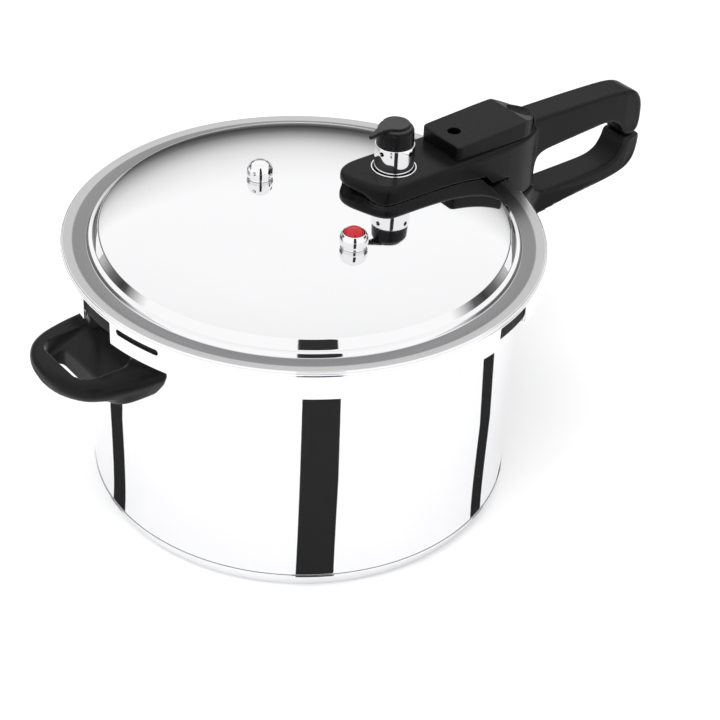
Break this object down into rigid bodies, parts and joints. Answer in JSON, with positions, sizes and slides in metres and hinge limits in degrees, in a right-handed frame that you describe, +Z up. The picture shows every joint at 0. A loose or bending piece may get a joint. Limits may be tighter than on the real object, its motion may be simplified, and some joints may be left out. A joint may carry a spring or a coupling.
{
  "type": "pressure canner",
  "caption": "Stainless steel pressure canner with a twist-lock lid, black D handle and helper handle, weighted regulator, safety valve and red pressure indicator.",
  "frame": {"origin": "centre of the flat base, on the table plane", "axes": "+Z up along the pot's axis; +X along the long handle, away from the pot; +Y to the left when looking along +X"},
  "size_m": [0.4934, 0.3146, 0.241],
  "materials": {
    "steel_polished": "mirror-polished stainless steel",
    "steel_satin": "satin stainless steel",
    "aluminium_core": "plain rolled aluminium",
    "black_bakelite": "satin black heat-proof bakelite",
    "black_rubber": "matte black silicone rubber",
    "chrome_bright": "bright chromed metal",
    "brass_dull": "turned brass",
    "red_gloss": "glossy red"
  },
  "bodies": {
    "pot": {"pot_shell": "steel_polished", "base_core": "aluminium_core", "base_cap": "steel_polished", "pot_bracket": "steel_satin", "pot_handle": "black_bakelite", "pot_screws": "steel_satin", "helper_bracket": "steel_satin", "helper_handle": "black_bakelite", "helper_screw": "steel_satin"},
    "lid": {"lid_shell": "steel_polished", "gasket": "black_rubber", "lid_handle": "black_bakelite", "lid_bracket": "steel_satin", "lid_screws": "steel_satin", "latch_spring": "steel_satin", "vent_pipe": "steel_satin", "vent_nut": "steel_satin", "vent_filter": "steel_satin", "vent_ring": "chrome_bright", "relief_body": "chrome_bright", "relief_spring": "steel_satin", "relief_seal": "black_rubber", "relief_nut": "steel_satin", "float_body": "chrome_bright", "float_seal": "black_rubber", "float_nut": "steel_satin"},
    "latch": {"latch_block": "black_bakelite", "lock_tongue": "steel_satin"},
    "regulator": {"reg_sleeve": "chrome_bright", "reg_weight": "brass_dull"},
    "regulator_cap": {"reg_cap": "black_bakelite"},
    "safety_plunger": {"relief_plunger": "brass_dull"},
    "indicator": {"float_pin": "red_gloss", "float_clip": "steel_satin"}
  },
  "joints": [
    {"name": "lid_turn", "type": "hinge", "parent": "pot", "child": "lid", "pos_m": [0, 0, 0], "axis": [0, 0, 1], "range_deg": [0, 30]},
    {"name": "latch_slide", "type": "slide", "parent": "lid", "child": "latch", "axis": [-1, 0, 0], "range_m": [0, 0.008], "stiffness_N_per_m": 300, "deforming": ["latch_spring"]},
    {"name": "regulator_lift", "type": "slide", "parent": "lid", "child": "regulator", "axis": [0, 0, 1], "range_m": [0, 0.004]},
    {"name": "regulator_cap_turn", "type": "hinge", "parent": "regulator", "child": "regulator_cap", "pos_m": [0.072, 0, 0.226], "axis": [0, 0, 1], "range_deg": [0, 90]},
    {"name": "safety_valve_lift", "type": "slide", "parent": "lid", "child": "safety_plunger", "axis": [0, 0, 1], "range_m": [0, 0.0015], "stiffness_N_per_m": 1500, "deforming": ["relief_spring"]},
    {"name": "indicator_rise", "type": "slide", "parent": "lid", "child": "indicator", "axis": [0, 0, 1], "range_m": [0, 0.003]}
  ]
}
